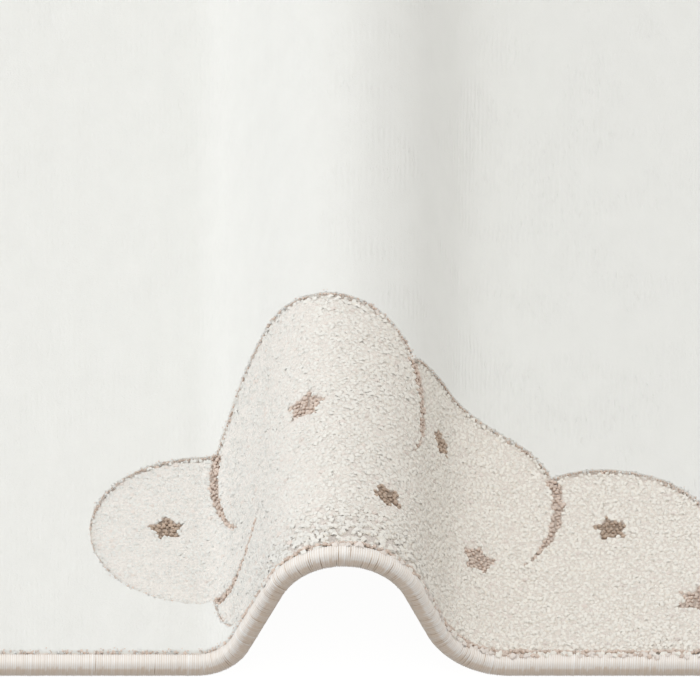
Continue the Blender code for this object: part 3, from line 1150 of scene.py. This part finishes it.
class KIDSRUG_OT_curls(bpy.types.Operator):
    """The curly pile of the cloud, its outline, swirls and stars, curl by curl"""
    bl_idname = "kids_rug.curls"
    bl_label = "Curls"

    INSET = 0.0068
    SUNK = 0.0006
    STRAY = 0.035
    STRAY_AT_RIM = 0.90
    RIM_ROW = 0.0070
    # How far the rim leans out on the right, from where on, and over what width that grows
    LEANING = 0.0020
    LEANING_FROM = 0.030
    LEANING_WIDTH = 0.070
    SPLIT = 0.036
    RIM_FREE = 0.0008
    RIM_SIZE = 0.62
    RIM_JITTER = (-0.0003, 0.0005)
    BAND_SIZE = 0.86
    # Where the grid of curls starts and ends, and how its rows stand
    LEFT = -0.180
    RIGHT = 0.282
    FRONT = 0.0040
    BACK = 0.226
    ROW_SHARE = 0.866
    JITTER = 0.32
    SIZES = (0.80, 1.25)
    OPEN_SIZE = 0.50
    MISSING = 0.46
    # Heights of the curls' feet from the ground, at the cloud's edge and where the pile is open
    FOOT = -0.0003
    EDGE_RISE = 0.0006
    EDGE_WIDTH = 0.0040
    EDGE_ROW_RISE = 0.0009
    OPENED = 0.0012
    # How much curls of a yarn differ in tone, and their darker tint at the roots, which is painted
    # shade
    CREAM_LOOK = (0.03, (0.95, 0.885, 0.81))
    ROSE_LOOK = (0.12, (0.70, 0.58, 0.50))
    BROWN_LOOK = (0.12, (0.66, 0.56, 0.47))
    BLUSH_LOOK = (0.05, (0.90, 0.80, 0.74))
    LEFT_FUZZ = 0.86
    RIGHT_FUZZ = 0.70
    BAND_FUZZ = 0.25
    PLACE_SEED = 31
    YARN_SEED = 32
    CURL_SEED = 33

    def execute(self, context):
        pile, colours = context.scene.rug_pile, context.scene.rug_colours
        u, v, size = self.places(pile)
        yarn = self.yarns(u, v)
        apart = cloud_distance(u, v)
        rise = self.EDGE_RISE * np.clip(1 + apart / self.EDGE_WIDTH, 0, 1)
        rise -= self.OPENED * looseness(u, v)
        rise += self.EDGE_ROW_RISE * (apart > -self.RIM_FREE)
        size = np.where((yarn == ROSE) | (yarn == BROWN), self.BAND_SIZE * size, size)
        base = pile.ground_height + self.FOOT + rise
        base = np.maximum(base, self.over_binding(context, u, v))
        points, quads, high = curl_tubes(u, v, base, size, self.CURL_SEED)
        cream = curl_material("curly_cream", colours.cream, *self.CREAM_LOOK, colours.warm_cream)
        rose = curl_material("curly_rose", colours.rose, *self.ROSE_LOOK)
        brown = curl_material("curly_brown", colours.brown, *self.BROWN_LOOK)
        blush = curl_material("curly_blush", colours.blush, *self.BLUSH_LOOK)
        left = u < self.SPLIT
        pieces = (
            ("curls_cream_left", (yarn == CREAM) & left, cream, self.LEFT_FUZZ),
            ("curls_cream_right", (yarn == CREAM) & ~left, cream, self.RIGHT_FUZZ),
            ("curls_rose", yarn == ROSE, rose, self.BAND_FUZZ),
            ("curls_brown", yarn == BROWN, brown, self.BAND_FUZZ),
            ("curls_blush", yarn == BLUSH, blush, self.RIGHT_FUZZ),
        )
        for name, chosen, material, fuzz in pieces:
            make_piece(
                name, points, quads[chosen].reshape(-1, 4), material, high, fuzz
            )
        return {"FINISHED"}

    def over_binding(self, context, u, v):
        """How high curls have to stand that lean over the binding's roll."""
        roll = context.scene.rug_shape.thickness / 2
        from_middle = outline_depth(u, v, 0.0) - roll
        on_roll = roll + np.sqrt(np.maximum(roll ** 2 - from_middle ** 2, 0))
        return np.where(from_middle < roll, on_roll - self.SUNK, 0.0)

    def places(self, pile):
        """Where the curls stand in the cloud, and their sizes: larger and looser at the front
        edge of the wave."""
        rng = np.random.default_rng(self.PLACE_SEED)
        step = pile.curl_spacing
        columns, rows = np.meshgrid(
            np.arange(self.LEFT, self.RIGHT, step),
            np.arange(self.FRONT, self.BACK, step * self.ROW_SHARE), indexing="ij",
        )
        columns = columns + np.where(np.arange(rows.shape[1]) % 2, step / 2, 0)
        jitter = self.JITTER
        u = (columns + rng.uniform(-jitter, jitter, columns.shape) * step).ravel()
        v = (rows + rng.uniform(-jitter, jitter, rows.shape) * step).ravel()
        loose = looseness(u, v)
        missing = rng.uniform(0, 1, u.shape) < self.MISSING * loose
        size = rng.uniform(*self.SIZES, u.shape) * (1 + self.OPEN_SIZE * loose)
        kept = (cloud_distance(u, v) < -self.RIM_FREE) & ~missing
        rim, inwards = cloud_outline(OUTLINE_PITCH, 0.0)
        rim = rim + inwards * rng.uniform(*self.RIM_JITTER, (len(rim), 1))
        u, v = np.concatenate([u[kept], rim[:, 0]]), np.concatenate([v[kept], rim[:, 1]])
        rim_size = self.RIM_SIZE * rng.uniform(*self.SIZES, len(rim))
        size = np.concatenate([size[kept], rim_size])
        inside = self.from_rim(u, v) > 0
        return u[inside], v[inside], size[inside]

    def from_rim(self, u, v):
        """How far a point lies inside the curly pile's rim, which on the right leans further
        out over the binding."""
        share = np.clip((u - self.LEANING_FROM) / self.LEANING_WIDTH, 0, 1)
        return outline_depth(u, v, 0.0) - self.INSET + self.LEANING * share

    def yarns(self, u, v):
        """The yarn of each curl, with a few stray curls among the cream ones and more of them
        next to the binding."""
        rng = np.random.default_rng(self.YARN_SEED)
        yarn = yarn_at(u, v)
        chance = rng.uniform(0, 1, u.shape)
        at_rim = self.STRAY_AT_RIM * np.clip(1 - self.from_rim(u, v) / self.RIM_ROW, 0, 1)
        blush = chance < np.maximum(at_rim, self.STRAY)
        yarn = np.where((yarn == CREAM) & blush, BLUSH, yarn)
        return np.where(chance < at_rim / 2, ROSE, yarn)


class KIDSRUG_OT_binding(bpy.types.Operator):
    """The overcast edge: turn after turn of yarn round the rug's cut edge"""
    bl_idname = "kids_rug.binding"
    bl_label = "Edge binding"

    # Degrees round the roll from straight outwards, over the top and under
    ANGLES = (-80, -50, -26, -6, 10, 24, 37, 50, 66, 88, 115, 150, 190, 235)
    SQUARENESS = 2.45
    PITCH_JITTER = 0.12
    SLANT = 0.00035
    # Where a turn's rings lie in it, the groove first, also on the front edge's finer turns
    RINGS = (0.0, 0.5)
    FINE_RINGS = (0.0, 0.3, 0.7)
    # The bent stretch of the edge, and the chances there and elsewhere below which a turn is
    # bright and above which it has a deep groove
    BENT_DEPTH = 0.012
    BENT_HALF_WIDTH = 0.110
    BRIGHT_BELOW = (0.07, 0.03)
    DEEP_ABOVE = (0.78, 0.995)
    PROUD = 0.00006
    BRIGHT_PROUD = 0.00014
    GROOVES = (0.6, 1.5)
    # Deep grooves: how deep, between which shares of it, between which angles and how wide
    DEEP_GROOVE = 0.0007
    DEEP_SHARES = (0.3, 1.2)
    DEEP_ANGLES = (-0.6, 1.5)
    DEEP_WIDTH = 0.5
    # The height, by the sine, below which the yarn is painted in shade, and its blend into the
    # bright half, which is painted light
    SHADED_BELOW = 0.25
    SHADE_LINE_JITTER = 0.14
    SHADE_BLEND = 0.10
    # Tones, from 0 where painted in shade to 1 where bright: the upper half is painted light,
    # bright turns a painted highlight, and the grooves painted shade
    SHADED_TONE = 0.18
    TONE_SPREAD = 0.18
    UPPER_TONE = 0.57
    BRIGHT_TONE = 0.20
    GROOVE_TONE = 0.55
    DEEP_TONE = 0.8
    STITCH_PITCH = 0.0017
    STITCH_INSET = 0.0108
    STITCH_HEIGHT = 0.0095
    STITCH_JITTER = 0.35
    STITCH_STRAY = (-0.0012, 0.0006)
    STITCH_UNEVEN = 0.0003
    STITCH_SIZES = (0.75, 1.15)
    # How much the stitches differ in tone, and their darker tint at the roots, which is painted
    # shade
    STITCH_LOOK = (0.12, (0.80, 0.70, 0.62))
    STITCH_FUZZ = 0.5
    SEED = 41
    STITCH_SEED = 43

    def execute(self, context):
        shape = context.scene.rug_shape
        roll = shape.thickness / 2
        rng = np.random.default_rng(self.SEED)
        place, turn, groove = self.rings(roll, shape, rng)
        path, outwards = outline_at(roll, place)
        angles = np.radians(self.ANGLES)
        sides = len(angles)
        radius, tone = self.relief(shape, path, turn, groove, angles, rng)
        power = self.SQUARENESS
        widths = np.abs(np.cos(angles)) ** power + np.abs(np.sin(angles)) ** power
        radius = radius + roll / widths ** (1 / power)
        across, up = np.cos(angles) * radius, np.sin(angles) * radius
        forward = np.stack([-outwards[:, 1], outwards[:, 0]], axis=1)
        slant = self.SLANT * np.broadcast_to(np.sin(angles), radius.shape)
        flat = (
            path[:, None, :] + outwards[:, None, :] * across[:, :, None]
            + forward[:, None, :] * slant[:, :, None]
        )
        height = np.maximum(roll + up, 0.0)
        points = np.concatenate([flat, height[:, :, None]], axis=2).reshape(-1, 3)
        ring = np.arange(len(place))
        following = (ring + 1) % len(place)
        quads = []
        for side in range(sides):
            beside = (side + 1) % sides
            quads.append(np.stack([
                ring * sides + side, ring * sides + beside,
                following * sides + beside, following * sides + side,
            ], axis=1))
        piece = make_piece(
            "edge_overcast", points, np.concatenate(quads), binding_material(),
            tone.ravel(),
        )
        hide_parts("edge_binding")
        self.stitches(context, rng)
        return {"FINISHED"}

    def rings(self, roll, shape, rng):
        """Each ring of points round the roll: its place along the edge, its turn of yarn, and
        whether it lies in the groove before the turn. The front edge has finer turns."""
        _, _, perimeter = outline_track(roll)
        count = round(perimeter / shape.yarn_pitch)
        widths = rng.uniform(1 - self.PITCH_JITTER, 1 + self.PITCH_JITTER, count)
        starts = np.concatenate([[0.0], np.cumsum(widths)])
        starts *= perimeter / starts[-1]
        places, turns, grooves = [], [], []
        for turn, (start, end) in enumerate(zip(starts, starts[1:])):
            shares = self.FINE_RINGS if start < shape.width else self.RINGS
            places += [start + share * (end - start) for share in shares]
            turns += [turn] * len(shares)
            grooves += [share == 0.0 for share in shares]
        return np.array(places), np.array(turns), np.array(grooves)

    def relief(self, shape, path, turn, groove, angles, rng):
        """How far each point stands off the roll, and its tone. Here and there a turn stands
        out and is lighter, with a painted highlight, or the yarn parts in a deep groove on one
        side, and more so where the edge is bent. The tone is painted shade on the roll's lower
        half and in the grooves, and painted light on its upper half."""
        count = turn[-1] + 1
        first = np.searchsorted(turn, np.arange(count))
        near_front = path[first, 1] < self.BENT_DEPTH
        bent = near_front & (np.abs(path[first, 0]) < self.BENT_HALF_WIDTH)
        chance = rng.uniform(0, 1, count)
        bright = chance < np.where(bent, *self.BRIGHT_BELOW)
        deep = chance > np.where(bent, *self.DEEP_ABOVE)
        proud = self.PROUD * rng.uniform(-1, 1, count) + self.BRIGHT_PROUD * bright
        depth = shape.yarn_relief * rng.uniform(*self.GROOVES, count)
        centre = rng.uniform(*self.DEEP_ANGLES, count)
        apart = (angles[None, :] - centre[:, None] + pi) % (2 * pi) - pi
        window = np.exp(-apart ** 2 / self.DEEP_WIDTH)
        parted = self.DEEP_GROOVE * rng.uniform(*self.DEEP_SHARES, count) * deep
        depth = depth[:, None] + parted[:, None] * window
        # Painted shade below a line on the roll's lower half that wanders from turn to turn,
        # painted light above it
        jitter = self.SHADE_LINE_JITTER * rng.uniform(-1, 1, (count, 1))
        upper = np.sin(angles)[None, :] - self.SHADED_BELOW - jitter
        upper = np.clip(upper / self.SHADE_BLEND, 0, 1)
        tone = self.SHADED_TONE + self.TONE_SPREAD * rng.uniform(0, 1, (count, 1))
        tone = tone + self.UPPER_TONE * upper + self.BRIGHT_TONE * bright[:, None]
        # Painted shade: the grooves and the deep grooves are darker
        stand = proud[turn][:, None] - np.where(groove[:, None], depth[turn], 0.0)
        shade = tone[turn] * np.where(groove[:, None], self.GROOVE_TONE, 1.0)
        shade = shade - self.DEEP_TONE * (groove & deep[turn])[:, None] * window[turn]
        return stand, shade

    def stitches(self, context, rng):
        """The inner ends of the turns, where they bite into the pile."""
        _, _, perimeter = outline_track(self.STITCH_INSET)
        count = round(perimeter / self.STITCH_PITCH)
        place = np.arange(count) + rng.uniform(-self.STITCH_JITTER, self.STITCH_JITTER, count)
        place = place * perimeter / count
        path, outwards = outline_at(self.STITCH_INSET, np.mod(place, perimeter))
        path = path + outwards * rng.uniform(*self.STITCH_STRAY, count)[:, None]
        rise = rng.uniform(-self.STITCH_UNEVEN, self.STITCH_UNEVEN, count)
        size = rng.uniform(*self.STITCH_SIZES, count)
        points, quads, high = curl_tubes(
            path[:, 0], path[:, 1], self.STITCH_HEIGHT + rise, size, self.STITCH_SEED
        )
        rose = context.scene.rug_colours.rose
        make_piece(
            "rim_stitches", points, quads.reshape(-1, 4),
            curl_material("rim_yarn", rose, *self.STITCH_LOOK), high,
            self.STITCH_FUZZ,
        )


class KIDSRUG_OT_backing(bpy.types.Operator):
    """The woven backing that the pile is tufted into"""
    bl_idname = "kids_rug.backing"
    bl_label = "Woven backing"

    INSET = 0.0060
    # The grid's spacings on the flats, on the wave and along the rug, and the wave's two ends
    ON_FLAT = 0.012
    ON_WAVE = 0.004
    ALONG = 0.015
    WAVE_LEFT = -0.12
    WAVE_RIGHT = 0.125
    # How the backing rises into the binding
    RIM_RISE = 0.0030
    RIM_WIDTH = 0.006

    def execute(self, context):
        shape = context.scene.rug_shape
        half = shape.width / 2 - self.INSET
        u_lines = graded(
            (-half, self.ON_FLAT), (self.WAVE_LEFT, self.ON_WAVE),
            (self.WAVE_RIGHT, self.ON_FLAT), (half, 0),
        )
        v_lines = graded((self.INSET, self.ALONG), (shape.length - self.INSET, 0))
        u, v = grid_points(u_lines, v_lines)
        u, v = round_the_corners(u, v, self.INSET)
        near_rim = np.clip(1 - outline_depth(u, v, self.INSET) / self.RIM_WIDTH, 0, 1)
        rise = self.RIM_RISE * near_rim
        under = np.column_stack([u, v, rise])
        over = np.column_stack([u, v, rise + shape.backing_thickness])
        count = len(u)
        quads = grid_quads(len(u_lines), len(v_lines))
        rim = self.rim(len(u_lines), len(v_lines))
        around = np.roll(rim, -1)
        sides = np.stack([rim, around, around + count, rim + count], axis=1)
        piece = make_piece(
            "woven_backing", np.concatenate([under, over]),
            np.concatenate([quads[:, ::-1], quads + count, sides]), jute_material(),
        )
        return {"FINISHED"}

    def rim(self, columns, rows):
        """The grid's outer points in order, anticlockwise from the front left corner."""
        front = [column * rows for column in range(columns)]
        right = [(columns - 1) * rows + row for row in range(1, rows)]
        back = [column * rows + rows - 1 for column in range(columns - 2, -1, -1)]
        left = list(range(rows - 2, 0, -1))
        return np.array(front + right + back + left)


class KIDSRUG_PT_panel(bpy.types.Panel):
    """Sizes, colours and pieces of the rug"""
    bl_idname = "KIDSRUG_PT_panel"
    bl_label = "Kids Rug"
    bl_space_type = "VIEW_3D"
    bl_region_type = "UI"
    bl_category = "Kids Rug"

    def draw(self, context):
        for group_name in GROUPS:
            group = getattr(context.scene, group_name)
            box = self.layout.box()
            for key in group.bl_rna.properties.keys():
                if key not in ("name", "rna_type"):
                    box.prop(group, key)
        for operator in OPERATORS:
            self.layout.operator(operator.bl_idname)


GROUPS = {
    "rug_shape": RugShape,
    "rug_pile": RugPile,
    "rug_colours": RugColours,
    "rug_stage": RugStage,
}
OPERATORS = (
    KIDSRUG_OT_stage, KIDSRUG_OT_plush, KIDSRUG_OT_cloud_ground, KIDSRUG_OT_curls,
    KIDSRUG_OT_binding, KIDSRUG_OT_backing,
)
CLASSES = (*GROUPS.values(), *OPERATORS, KIDSRUG_PT_panel)


def register():
    for item in CLASSES:
        bpy.utils.register_class(item)
    for name, group in GROUPS.items():
        setattr(bpy.types.Scene, name, bpy.props.PointerProperty(type=group))


def unregister():
    for name in GROUPS:
        delattr(bpy.types.Scene, name)
    for item in reversed(CLASSES):
        bpy.utils.unregister_class(item)


def main():
    register()
    bpy.ops.kids_rug.stage()
    bpy.ops.kids_rug.plush()
    bpy.ops.kids_rug.cloud_ground()
    bpy.ops.kids_rug.curls()
    bpy.ops.kids_rug.binding()
    bpy.ops.kids_rug.backing()


if __name__ == "__main__":
    main()
